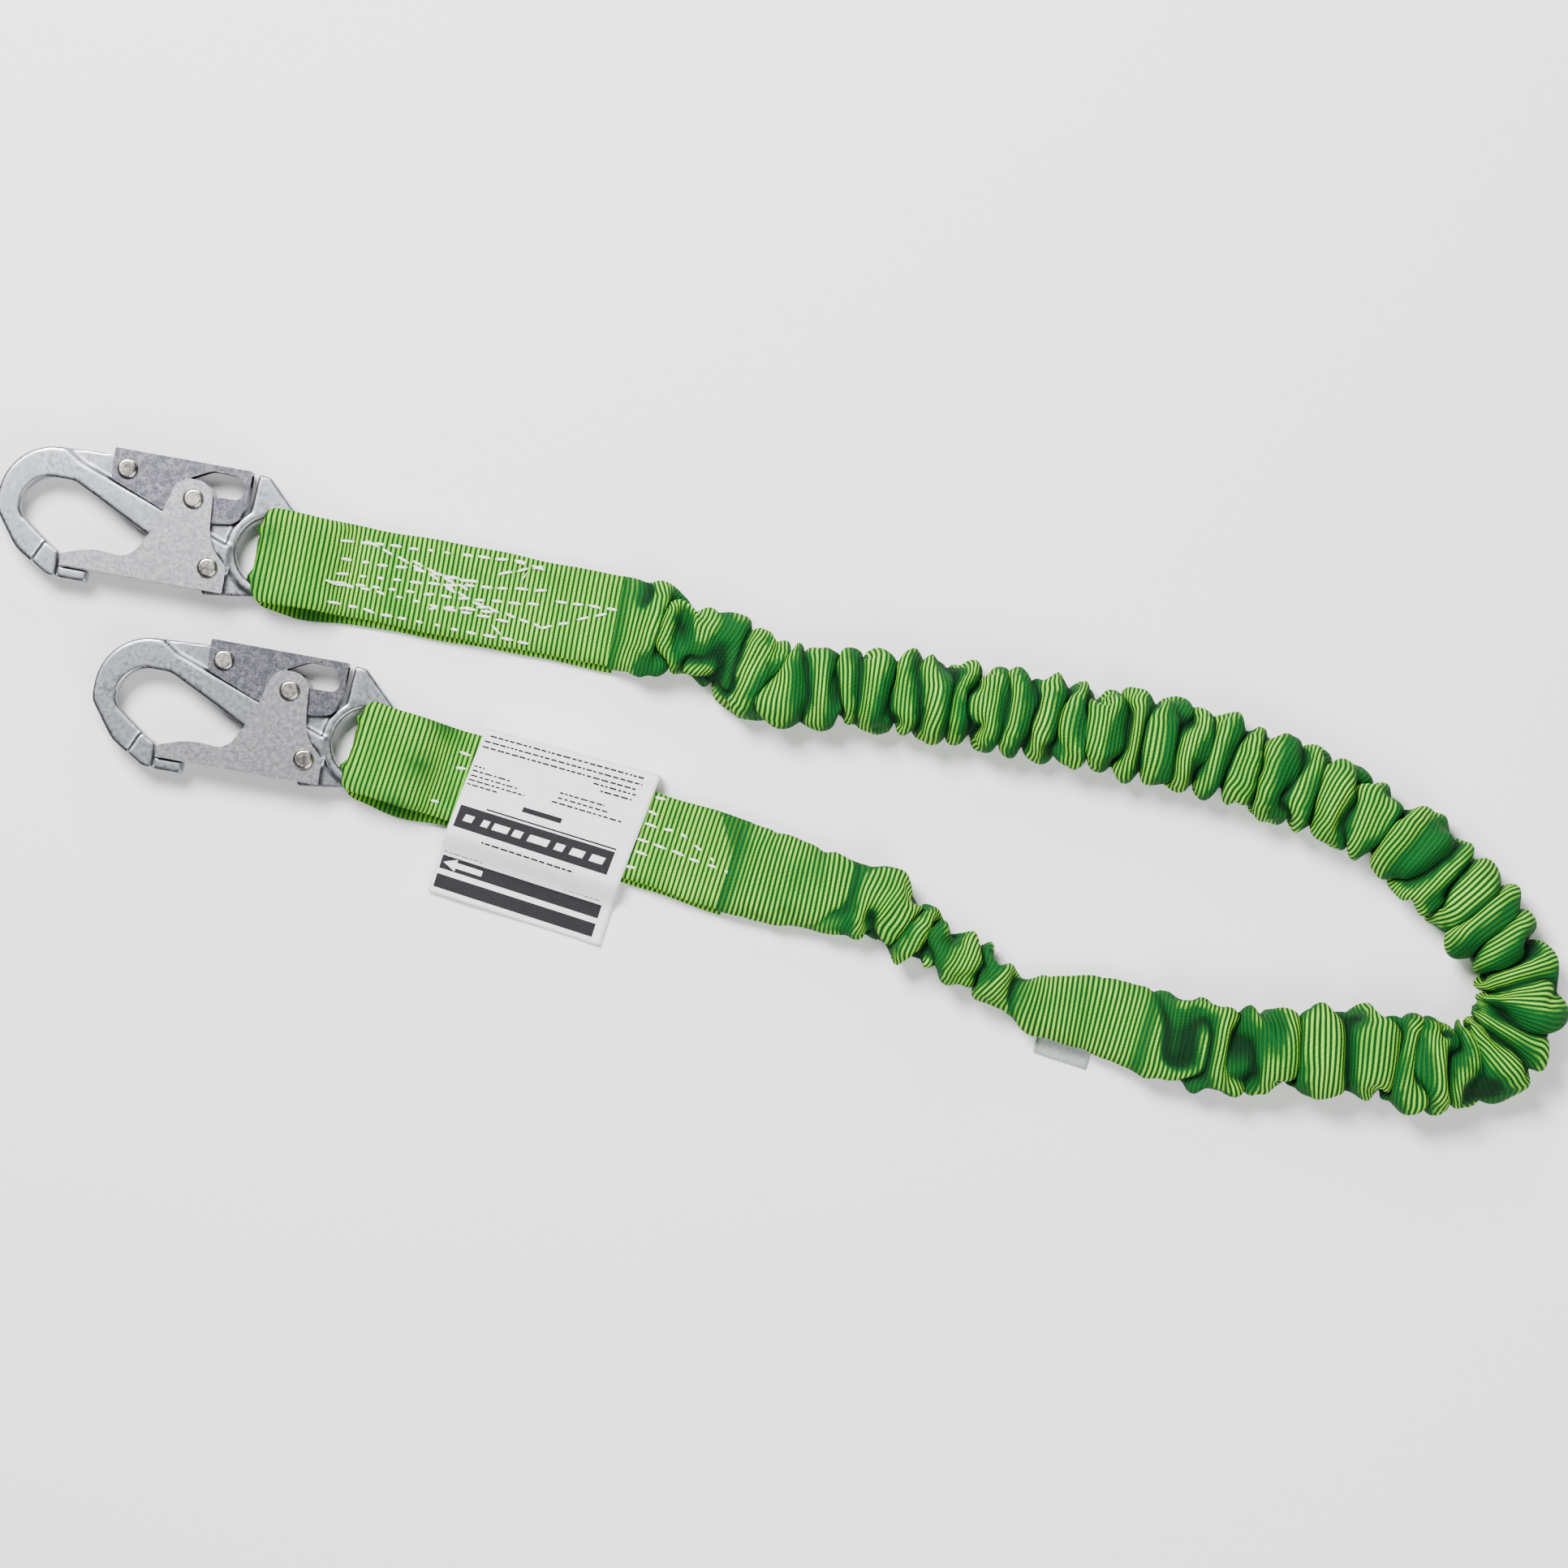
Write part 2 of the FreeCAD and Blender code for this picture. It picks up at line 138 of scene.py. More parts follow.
def set_painted_shade(obj, values):
    """Painted shade on the points: 0 is open fabric, 1 a shaded flank, and 2 the bottom of a crevice,
    painted darkest.
    """
    attribute = obj.data.attributes.new("painted_shade", "FLOAT", "POINT")
    attribute.data.foreach_set("value", np.asarray(values, np.float32).ravel())


def paint(obj, material):
    obj.data.materials.clear()
    obj.data.materials.append(material)


# ------------------------------------------------------------------ materials
class Nodes:
    """Small helper for building a material's node tree."""

    def __init__(self, name):
        self.material = bpy.data.materials.new(name)
        self.material.use_nodes = True
        self.tree = self.material.node_tree
        self.shader = self.tree.nodes["Principled BSDF"]

    def add(self, kind, **settings):
        node = self.tree.nodes.new(kind)
        for key, value in settings.items():
            setattr(node, key, value)
        return node

    def link(self, source, target):
        self.tree.links.new(source, target)

    def feed(self, socket, value):
        """Give a socket a colour, a number or another node's output."""
        if isinstance(value, tuple):
            socket.default_value = (*value, 1.0)
        elif isinstance(value, (int, float)):
            socket.default_value = value
        else:
            self.link(value, socket)

    def math(self, operation, a, b=0.0, clamp=False):
        node = self.add("ShaderNodeMath", operation=operation, use_clamp=clamp)
        for socket, value in zip(node.inputs, (a, b)):
            self.feed(socket, value)
        return node.outputs[0]

    def noise(self, vector, scale, detail=4.0, rough=0.55):
        node = self.add("ShaderNodeTexNoise")
        node.inputs["Scale"].default_value = scale
        node.inputs["Detail"].default_value = detail
        node.inputs["Roughness"].default_value = rough
        self.link(vector, node.inputs["Vector"])
        return node.outputs[0]

    def span(self, value, low, high, out_low, out_high):
        """Map low..high to out_low..out_high, held at the ends."""
        node = self.add("ShaderNodeMapRange")
        node.inputs["From Min"].default_value = low
        node.inputs["From Max"].default_value = high
        node.inputs["To Min"].default_value = out_low
        node.inputs["To Max"].default_value = out_high
        self.link(value, node.inputs["Value"])
        return node.outputs[0]

    def mix(self, share, first, second):
        node = self.add("ShaderNodeMix", data_type="RGBA")
        for socket, value in ((node.inputs[0], share), (node.inputs[6], first), (node.inputs[7], second)):
            self.feed(socket, value)
        return node.outputs[2]

    def bump(self, height, distance, strength=1.0, under=None):
        node = self.add("ShaderNodeBump")
        node.inputs["Distance"].default_value = distance
        node.inputs["Strength"].default_value = strength
        self.link(height, node.inputs["Height"])
        if under is not None:
            self.link(under, node.inputs["Normal"])
        return node.outputs[0]

    def set(self, **values):
        names = {"color": "Base Color", "rough": "Roughness", "metal": "Metallic", "normal": "Normal"}
        for key, value in values.items():
            self.feed(self.shader.inputs[names[key]], value)
        return self.material


def steel(name, dark, light, blotch, rough, speckle):
    """Zinc plated steel: soft blotches, fine speckle and a faint grain in the bump."""
    speck_scale, grain_scale, dent_scale = 1100.0, 520.0, 120.0
    n = Nodes(name)
    where = n.add("ShaderNodeTexCoord").outputs["Object"]
    broad = n.noise(where, blotch, 5.0, 0.6)
    fine = n.noise(where, speck_scale, 3.0, 0.7)
    spots = n.span(fine, 0.48, 0.62, 0.0, speckle)
    share = n.math("ADD", n.span(broad, 0.35, 0.65, 0.0, 1.0), n.math("MULTIPLY", spots, -1.0), True)
    color = n.mix(share, dark, light)
    grain = n.span(n.noise(where, grain_scale, 4.0, 0.6), 0.3, 0.7, -0.05, 0.07)
    roughness = n.math("ADD", n.span(broad, 0.3, 0.7, rough + 0.08, rough - 0.06), grain)
    dents = n.bump(n.noise(where, dent_scale, 2.0, 0.5), 0.0002, 0.10)
    normal = n.bump(fine, 0.00003, 0.22, dents)
    return n.set(color=color, rough=roughness, metal=1.0, normal=normal)


BODY_STEEL = steel("body_steel", (0.19, 0.20, 0.22), (0.37, 0.38, 0.41), 90.0, 0.30, 0.12)
GATE_STEEL = steel("gate_steel", (0.19, 0.19, 0.21), (0.40, 0.40, 0.41), 260.0, 0.32, 0.6)
LEVER_STEEL = steel("lever_steel", (0.06, 0.06, 0.075), (0.20, 0.20, 0.215), 300.0, 0.34, 0.7)
RIVET_STEEL = steel("rivet_steel", (0.42, 0.40, 0.37), (0.60, 0.57, 0.53), 120.0, 0.22, 0.1)
SPRING_STEEL = steel("spring_steel", (0.30, 0.30, 0.32), (0.50, 0.50, 0.52), 300.0, 0.30, 0.1)

RIB, YARN = 0.0021, 0.0011
RIB_EDGE = 0.92
RIB_LIGHT = (0.33, 0.78, 0.040)
RIB_LIGHT_FADED = (0.13, 0.48, 0.018)
RIB_DARK = (0.001, 0.048, 0.006)
# Painted shade colours: a dark green for shaded fold flanks and a near black green for the bottoms of
# crevices.
PAINTED_SHADE_GREEN = (0.0005, 0.066, 0.011)
PAINTED_CREVICE_GREEN = (0.0003, 0.012, 0.004)
CLOTH_SPECULAR, WEBBING_SPECULAR = 0.2, 0.12


def webbing_material(name, painted_shade_share, gap_end):
    """Ribbed green webbing: light ribs across it, dark gaps, and painted shade in darker green where the
    points' shade value says.

    gap_end is where on the rib's sine wave the dark gap ends, so a higher one makes wider gaps.
    """
    n = Nodes(name)
    uv = n.add("ShaderNodeUVMap", uv_map="fabric").outputs[0]
    parts = n.add("ShaderNodeSeparateXYZ")
    n.link(uv, parts.inputs[0])
    along, across = parts.outputs[0], parts.outputs[1]
    wander = n.math("MULTIPLY", n.noise(uv, 24.0, 1.0), 0.0012)
    phase = n.math("MULTIPLY", n.math("ADD", along, wander), TAU / RIB)
    rib = n.span(n.math("SINE", phase), gap_end, gap_end + RIB_EDGE, 0.0, 1.0)
    yarn_phase = n.math("ADD", n.math("MULTIPLY", across, TAU / YARN), n.math("MULTIPLY", phase, 0.5))
    twill = n.math("SINE", yarn_phase)
    yarn = n.span(twill, -1.0, 1.0, 0.82, 1.0)
    fade = n.span(n.noise(uv, 55.0, 3.0), 0.35, 0.7, 0.0, 1.0)
    light = n.mix(fade, RIB_LIGHT, RIB_LIGHT_FADED)
    base = n.mix(n.math("MULTIPLY", rib, yarn), RIB_DARK, light)
    # Painted shade from the points' value: 0 to 1 darkens towards the flank green, 1 to 2 further towards
    # the crevice green.
    painted_shade = n.add("ShaderNodeAttribute", attribute_name="painted_shade").outputs["Fac"]
    shade = n.math("MULTIPLY", n.span(painted_shade, 0.0, 1.0, 0.0, 1.0), painted_shade_share)
    color = n.mix(shade, base, PAINTED_SHADE_GREEN)
    color = n.mix(n.span(painted_shade, 1.0, 2.0, 0.0, 0.85), color, PAINTED_CREVICE_GREEN)
    fuzz = n.noise(uv, 2400.0, 3.0, 0.7)
    height = n.math("ADD", rib, n.math("MULTIPLY", twill, 0.12))
    normal = n.bump(fuzz, 0.0001, 0.4, n.bump(height, 0.0005, 0.8))
    n.shader.inputs["Specular IOR Level"].default_value = WEBBING_SPECULAR
    return n.set(color=color, rough=n.span(fuzz, 0.3, 0.7, 0.72, 0.88), metal=0.0, normal=normal)


WEBBING = webbing_material("green_webbing", 0.90, -0.62)
# Darker copy of the webbing for the gathered jacket, as painted shade: wider dark rib gaps and more of the
# painted shade green.
GATHERED_SHADED = webbing_material("green_gathered_webbing_shaded", 0.95, -0.40)


def plain_cloth(name, color, deep, scale=1500.0):
    """One colour with a fine weave or grain; scale is per metre."""
    n = Nodes(name)
    where = n.add("ShaderNodeTexCoord").outputs["Object"]
    fine = n.noise(where, scale, 3.0, 0.7)
    tone = n.mix(n.span(fine, 0.3, 0.7, 0.0, 1.0), deep, color)
    rough = n.span(fine, 0.3, 0.7, 0.7, 0.9)
    n.shader.inputs["Specular IOR Level"].default_value = CLOTH_SPECULAR
    return n.set(color=tone, rough=rough, metal=0.0, normal=n.bump(fine, 0.0002, 0.5))


THREAD = plain_cloth("white_thread", (0.95, 0.96, 0.90), (0.74, 0.80, 0.66), 3000.0)
CORE = plain_cloth("core_webbing", (0.72, 0.70, 0.62), (0.5, 0.48, 0.42))
VINYL = plain_cloth("label_vinyl", (0.84, 0.82, 0.85), (0.77, 0.75, 0.79), 260.0)
INK = plain_cloth("label_ink", (0.022, 0.021, 0.024), (0.012, 0.012, 0.014), 500.0)
TAG = plain_cloth("tag_cloth", (0.40, 0.43, 0.43), (0.28, 0.31, 0.31), 700.0)


# ------------------------------------------------------------------ hooks: looks on the CAD pieces
HOOK_LOOKS = {
    "body": BODY_STEEL, "gate": GATE_STEEL, "lock_lever": LEVER_STEEL, "gate_rivet": RIVET_STEEL,
    "lock_rivet": RIVET_STEEL, "cross_rivet": RIVET_STEEL, "gate_spring": SPRING_STEEL,
    "lock_spring": SPRING_STEEL,
}
FORGED_GRAIN = 0.00055
PRESSED_EDGE = 0.0005


def forge(obj):
    """Round every edge of a forging a little, by remeshing and smoothing it."""
    forged = obj.modifiers.new("forged", "REMESH")
    forged.mode = "VOXEL"
    forged.voxel_size = FORGED_GRAIN
    forged.use_smooth_shade = True
    worn = obj.modifiers.new("worn", "SMOOTH")
    worn.factor = 0.5
    worn.iterations = 9


def soften_edges(obj):
    """Small round on the edges of pressed sheet steel."""
    bevel = obj.modifiers.new("edge", "BEVEL")
    bevel.width = PRESSED_EDGE
    bevel.segments = 3
    bevel.limit_method = "ANGLE"
    bevel.angle_limit = math.radians(40)
    bevel.harden_normals = False


def dress_hooks():
    for side in "ab":
        for part, look in HOOK_LOOKS.items():
            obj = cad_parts["hook_" + side + "_" + part]
            paint(obj, look)
            if part == "body":
                forge(obj)
            elif part in ("gate", "lock_lever"):
                soften_edges(obj)


dress_hooks()


# ------------------------------------------------------------------ sewn ends
# The webbing is narrower and thicker in the eye. Its lower ply is set a little to one side, and more so
# near the eye, where it bulges out.
EYE_NARROWER, EYE_THICKER = 0.0125, 0.0012
LOWER_ASIDE, BULGE_ASIDE, BULGE_AT, BULGE_LONG = 0.0020, 0.0030, 0.020, 0.017
ROUND_PLY = 2.1 * WIDTH


def flat_section(width, thick, count=44):
    """Closed outline of flattened tubular webbing: (across, height) with rounded, slightly fat edges."""
    t = np.arange(count) / count * TAU
    across = np.sign(np.cos(t)) * np.abs(np.cos(t)) ** 0.42 * width / 2
    height = np.sign(np.sin(t)) * np.abs(np.sin(t)) ** 0.75 * thick / 2
    height *= 1 + 0.22 * np.exp(-((np.abs(across) - width * 0.42) / (width * 0.06)) ** 2)
    return across, height


def smooth_line(points, step):
    """Points spaced evenly along a rounded polyline of (u, z)."""
    p = np.array(points, float)
    for _ in range(4):
        q = 0.75 * p[:-1] + 0.25 * p[1:]
        r = 0.25 * p[:-1] + 0.75 * p[1:]
        p = np.vstack([p[:1], np.stack([q, r], 1).reshape(-1, 2), p[-1:]])
    d = np.concatenate([[0], np.cumsum(np.linalg.norm(np.diff(p, axis=0), axis=1))])
    s = np.linspace(0, d[-1], int(d[-1] / step) + 1)
    return np.stack([np.interp(s, d, p[:, 0]), np.interp(s, d, p[:, 1])], 1), s


def band_at(end, across):
    """Where the upper ply tucks into the jacket: the distance along of the painted shade line there, for a
    place across.
    """
    if end.side == "a":
        return 0.1545 - across * 0.19
    return 0.1640 - across * 0.40 - 8.0 * across * across


def upper_middle(end):
    """Height of the middle of the upper ply, where it lies flat on the lower one."""
    return PLY * 1.5 + PLY_GAP + end.raised


def end_core(end):
    """Core strips inside both plies."""
    rows, cols = 60, 20
    verts, faces = [], []
    for z, aside in ((PLY / 2 + end.raised, -0.0025), (upper_middle(end), 0.0)):
        first = len(verts)
        across, height = flat_section(0.032, 0.0016, cols)
        for u in np.linspace(0.042, end.length - 0.003, rows):
            for v, h in zip(across + aside, height):
                verts.append((*to_world(end, u, v), z + h))
        faces += [tuple(first + k for k in face) for face in grid_faces(rows, cols, True)]
    obj = new_mesh("end_" + end.side + "_core_strips", verts, faces)
    set_uv(obj, [(v[0], v[1]) for v in verts])
    paint(obj, CORE)
    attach(obj, "webbing")
    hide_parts("end_" + end.side + "_core")


def painted_ply_shade(end, u, v, z, in_eye, is_upper, bulge):
    """Painted shade in darker green: inside the eye, in the crease where the upper ply tucks in, in one
    soft patch and on the lower ply's bulge under the upper ply.
    """
    shade = np.zeros(u.shape) + 0.9 * in_eye[:, None]
    # Painted shade in the crease where the upper ply tucks into the jacket.
    tucked = (u > band_at(end, v)) & (is_upper[:, None] > 0.5)
    shade = np.maximum(shade, 0.95 * tucked)
    place, spread, strength = (-0.0035, 0.0040, 0.8) if end.side == "a" else (0.0250, 0.0080, 1.0)
    # A soft patch of painted shade on the upper ply, as on the shaded flank of a fold.
    patch = strength * np.exp(-((u - place - 0.25 * v) / spread) ** 2)
    patch *= 0.6 + 0.4 * np.sin(v * 260 + u * 90)
    shade = np.maximum(shade, patch * (z > 0.008))
    return np.maximum(shade, 0.85 * bulge[:, None] * (1 - is_upper[:, None]))


def sewn_end(end):
    """One piece of webbing: back along the floor, through the eye, and forward again on top."""
    top = HOOK_Z + LOOP_IN + PLY / 2
    low, upper = PLY / 2 + end.raised, upper_middle(end)
    line, s = smooth_line([
        (end.length - 0.001, low), (0.06, low), (0.024, low), (0.006, low + 0.0004), (-0.0042, 0.0062),
        (-0.0052, 0.0110), (-0.0042, 0.0162), (0.004, top + 0.0004), (0.018, top), (0.0245, top - 0.0022),
        (0.034, upper + 0.0002), (0.05, upper), (end.length, upper),
    ], 0.0011)
    ahead = np.gradient(line, axis=0)
    ahead /= np.linalg.norm(ahead, axis=1)[:, None]
    in_eye = np.exp(-(np.abs(line[:, 1] - HOOK_Z) / 0.0042) ** 4) * (line[:, 0] < 0.01)
    width = WIDTH - EYE_NARROWER * in_eye
    thick = PLY + EYE_THICKER * in_eye
    is_upper = 1 / (1 + np.exp(-(line[:, 1] - HOOK_Z) / 0.002))
    is_upper = np.where(line[:, 0] > 0.012, (np.arange(len(line)) > len(line) / 2), is_upper)
    bulge = np.exp(-((line[:, 0] - BULGE_AT) / BULGE_LONG) ** 2)
    aside = end.shift - (LOWER_ASIDE + BULGE_ASIDE * bulge) * (1 - is_upper)
    rows, cols = len(line), 44
    verts = np.zeros((rows, cols, 3))
    for i in range(rows):
        across, height = flat_section(width[i], thick[i], cols)
        u, z = line[i]
        crumple = 0.0011 * in_eye[i] * np.sin(across * 900 + u * 700 + 1.3)
        wave = 0.00035 * np.sin(across * 210 + s[i] * 95) + 0.0003 * math.sin(s[i] * 60)
        edge = 0.0007 * math.sin(s[i] * 71 + 2) + 0.0004 * math.sin(s[i] * 190)
        lift = height + crumple + (wave if z > upper - 0.001 else 0.0)
        verts[i, :, 0] = u - ahead[i, 1] * lift
        verts[i, :, 1] = across * (1 + edge / WIDTH) + aside[i]
        verts[i, :, 2] = z + ahead[i, 0] * lift
    verts[..., 2] = np.maximum(verts[..., 2], 0.0001)
    u, v, z = verts[..., 0], verts[..., 1], verts[..., 2]
    world = np.stack([*to_world(end, u, v), z], -1).reshape(-1, 3)
    obj = new_mesh("end_" + end.side + "_webbing", world, grid_faces(rows, cols, True))
    set_uv(obj, wrapped_uv(s[:, None], cols, ROUND_PLY).reshape(-1, 2), ROUND_PLY)
    set_painted_shade(obj, painted_ply_shade(end, u, v, z, in_eye, is_upper, bulge))
    paint(obj, WEBBING)
    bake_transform(obj)
    name = "end_" + end.side
    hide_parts(name + "_upper_ply", name + "_lower_ply", name + "_loop_turn")


sewn_end(END_A)
sewn_end(END_B)
end_core(END_A)
end_core(END_B)


# ------------------------------------------------------------------ gathered jacket
# Route of the jacket from end a to end b, from the first eye's centre, as in the CAD source
ROUTE = [
    (0.1543, -0.0030), (0.1890, -0.0034), (0.2199, -0.0188), (0.2595, -0.0111), (0.3058, -0.0110),
    (0.3594, -0.0116), (0.4092, -0.0124), (0.4544, -0.0199), (0.4918, -0.0305), (0.5264, -0.0497),
    (0.5614, -0.0816), (0.5637, -0.1083), (0.5456, -0.1283), (0.4983, -0.1270), (0.4569, -0.1361),
    (0.4149, -0.1369), (0.3800, -0.1320), (0.3514, -0.1354), (0.3267, -0.1195), (0.2989, -0.1110),
    (0.2773, -0.1003), (0.2493, -0.10175), (0.2216, -0.0980),
]
MIDDLE_Z, CORE_Z = 0.012, 0.0092

# Shape along the jacket: distance, half width to the left, half width to the right, half height, fold
# depth, fold length
SHAPE = [
    (0.000, 0.0214, 0.0214, 0.0045, 0.0003, 0.016), (0.011, 0.0215, 0.0215, 0.0090, 0.0038, 0.022),
    (0.030, 0.0140, 0.0150, 0.0095, 0.0045, 0.024), (0.046, 0.0205, 0.0165, 0.0105, 0.0042, 0.022),
    (0.066, 0.0165, 0.0200, 0.0110, 0.0040, 0.015), (0.100, 0.0170, 0.0175, 0.0110, 0.0042, 0.0118),
    (0.160, 0.0185, 0.0180, 0.0115, 0.0042, 0.0125), (0.230, 0.0190, 0.0190, 0.0115, 0.0042, 0.0128),
    (0.300, 0.0180, 0.0185, 0.0115, 0.0045, 0.0140), (0.360, 0.0180, 0.0185, 0.0115, 0.0048, 0.0160),
    (0.410, 0.0180, 0.0185, 0.0115, 0.0048, 0.0150), (0.455, 0.0200, 0.0170, 0.0115, 0.0045, 0.0120),
    (0.500, 0.0215, 0.0185, 0.0115, 0.0045, 0.0150), (0.540, 0.0200, 0.0200, 0.0110, 0.0048, 0.0200),
    (0.580, 0.0215, 0.0200, 0.0110, 0.0045, 0.0230), (0.606, 0.0200, 0.0190, 0.0100, 0.0032, 0.0240),
    (0.626, 0.0180, 0.0185, 0.0075, 0.0008, 0.0260), (0.646, 0.0160, 0.0175, 0.0070, 0.0006, 0.0260),
    (0.664, 0.0135, 0.0150, 0.0075, 0.0008, 0.0240), (0.676, 0.0080, 0.0100, 0.0085, 0.0020, 0.0200),
    (0.688, 0.0115, 0.0125, 0.0095, 0.0046, 0.0220), (0.706, 0.0110, 0.0120, 0.0095, 0.0048, 0.0240),
    (0.724, 0.0165, 0.0140, 0.0100, 0.0052, 0.0260), (0.744, 0.0150, 0.0170, 0.0095, 0.0046, 0.0260),
    (0.758, 0.0175, 0.0165, 0.0085, 0.0022, 0.0240), (0.780, 0.0190, 0.0205, 0.0075, 0.0010, 0.0260),
    (0.796, 0.0208, 0.0215, 0.0068, 0.0006, 0.0260), (0.812, 0.0214, 0.0214, 0.0048, 0.0003, 0.0260),
]
JACKET_COLS = 56
JACKET_STEP = 0.00125
FLAT_ROUND = 0.094
BAND_AT = 0.617
OVERLAP, OVERLAP_FADES = 0.004, 0.005
TIGHT_FOLD, LOOSE_RANGE = 0.0125, 0.008
FOLD_FROM = 0.0008


def route_line():
    """Fine points along a NURBS curve through the route's control points."""
    curve = bpy.data.curves.new("jacket_line", "CURVE")
    curve.dimensions = "3D"
    curve.resolution_u = 24
    spline = curve.splines.new("NURBS")
    spline.points.add(len(ROUTE) - 1)
    for point, (x, y) in zip(spline.points, ROUTE):
        point.co = (END_A.eye[0] + x, END_A.eye[1] + y, MIDDLE_Z, 1)
    spline.order_u = 3
    spline.use_endpoint_u = True
    obj = bpy.data.objects.new("jacket_line", curve)
    bpy.context.scene.collection.objects.link(obj)
    bpy.context.view_layer.update()
    mesh = bpy.data.meshes.new_from_object(obj.evaluated_get(bpy.context.evaluated_depsgraph_get()))
    points = np.array([v.co[:] for v in mesh.vertices])
    bpy.data.meshes.remove(mesh)
    bpy.data.objects.remove(obj)
    bpy.data.curves.remove(curve)
    return points


def along_line(points, step):
    """Even spacing along the line, with tangents and sideways normals."""
    d = np.concatenate([[0], np.cumsum(np.linalg.norm(np.diff(points, axis=0), axis=1))])
    s = np.linspace(0, d[-1], int(round(d[-1] / step)) + 1)
    p = np.stack([np.interp(s, d, points[:, k]) for k in range(3)], 1)
    t = np.gradient(p, axis=0)
    t /= np.linalg.norm(t, axis=1)[:, None]
    n = np.stack([-t[:, 1], t[:, 0], np.zeros(len(s))], 1)
    return s, p, t, n


def shape_at(s):
    """The columns of SHAPE after the distance, at each distance in s."""
    table = np.array(SHAPE)
    return [np.interp(s, table[:, 0], table[:, k]) for k in range(1, table.shape[1])]


def soft_noise(rng, s, theta, wave_s, wave_t, terms=14):
    """Smooth random field over length and angle, about -1 to 1."""
    total = np.zeros(np.broadcast(s, theta).shape)
    for _ in range(terms):
        k = TAU / wave_s * rng.uniform(0.4, 1.4)
        m = rng.integers(0, wave_t + 1)
        total += np.cos(k * s + m * theta * rng.choice([-1, 1]) + rng.uniform(0, TAU))
    return total / math.sqrt(terms) / 1.1


def even_fabric(verts, reach=12):
    """Distance along the cloth at each vertex, without the slow drift between its columns.

    The ribs then stay square to the jacket over many folds, and still follow each fold.
    """
    rows, cols = verts.shape[:2]
    run = np.linalg.norm(np.diff(verts, axis=0), axis=2)
    fabric = np.vstack([np.zeros((1, cols)), np.cumsum(run, axis=0)])
    own = fabric - fabric.mean(1)[:, None]
    padded = np.pad(own, ((reach, reach), (0, 0)), mode="edge")
    broad = np.stack([padded[k:k + rows] for k in range(2 * reach + 1)]).mean(0)
    return fabric.mean(1)[:, None] + 0.8 * (own - broad)


def fold_painted_shade(s, phase, shape, deep, loose, merge, patchy):
    """Painted shade: dark green on each fold's flank away from the light, darker in crevices. Dark bands
    at the ends and BAND_AT.
    """
    # Painted shade on the flank of each fold that faces away from the light.
    side = 0.5 - 0.5 * np.cos(phase + 0.75 + 0.5 * merge)
    shade = np.clip((side - 0.23 - 0.13 * loose + 0.20 * patchy) / 0.14, 0, 1)
    shade = shade * np.clip((deep - FOLD_FROM) / 0.0014, 0, 1)[:, None]
    # Painted shade at the bottom of each crevice, darkest of all.
    crevice = np.clip((-shape - 0.25) / 0.5, 0, 1) * np.clip((deep - FOLD_FROM) / 0.0020, 0, 1)[:, None]
    shade = np.maximum(shade, crevice) + crevice
    # Dark bands across the jacket at its two ends and at BAND_AT.
    for place in (0.0, BAND_AT, s[-1]):
        shade = np.maximum(shade, 0.95 * np.exp(-(((s[:, None] - place) / 0.0030) ** 4)))
    return shade


def jacket_grid(line):
    """Folded tube before the cloth is let go: vertices, fabric coordinate and painted fold shade."""
    rng = np.random.default_rng(29)
    s, p, t, n = along_line(line, JACKET_STEP)
    from_ends = np.minimum(s, s[-1] - s)
    reach_back = np.clip(1 - s / OVERLAP_FADES, 0, 1) - np.clip(1 - (s[-1] - s) / OVERLAP_FADES, 0, 1)
    p = p - t * (reach_back * OVERLAP)[:, None]
    left, right, high, deep, long = shape_at(s)
    sg, tg = s[:, None], (np.arange(JACKET_COLS) / JACKET_COLS * TAU)[None, :]
    turns = np.cumsum(np.gradient(s) / long)[:, None]
    slant = soft_noise(rng, sg, tg, 0.11, 1)
    wobble = soft_noise(rng, sg, tg, 0.026, 2)
    merge = soft_noise(rng, sg, tg, 0.05, 3)
    loose = np.clip((long - TIGHT_FOLD) / LOOSE_RANGE, 0, 1)[:, None]
    phase = TAU * (turns + (0.20 + 0.34 * loose) * slant + (0.21 + 0.08 * loose) * wobble)
    phase = phase + 0.75 * np.sin(phase * 0.5 + 1.5 * merge)
    crest = 0.5 + 0.5 * np.cos(phase)
    shape = 2.0 * crest ** 0.66 - 1.0
    size = 1 + 0.38 * soft_noise(rng, sg, tg, 0.022, 2)
    tapered = np.clip(from_ends / 0.012, 0, 1)[:, None]
    fold = deep[:, None] * np.clip(size, 0.35, 1.7) * shape * tapered
    fine = soft_noise(rng, sg, tg, 0.009, 4) * deep[:, None] * 0.10 * tapered
    fold = fold + fine
    lean = deep[:, None] * 0.42 * np.sin(phase) * tapered * (0.7 + 0.5 * merge)
    c, d = np.cos(tg), np.sin(tg)
    across = np.sign(c) * np.abs(c) ** 0.72
    up = np.sign(d) * np.abs(d) ** 0.80
    half = np.where(c > 0, left[:, None], right[:, None])
    wide = across * (half - 0.0010 + fold * 0.70)
    tall = up * (high[:, None] + fold * 0.85)
    verts = p[:, None, :] + n[:, None, :] * wide[..., None] + t[:, None, :] * lean[..., None]
    centre = high + deep * 0.9
    height = centre[:, None] + tall
    verts[..., 2] = 0.0006 + np.where(height < 0.004, 0.004 * np.exp((height - 0.004) / 0.004), height)
    patchy = soft_noise(rng, sg, tg, 0.028, 2)
    return verts, even_fabric(verts), fold_painted_shade(s, phase, shape, deep, loose, merge, patchy)


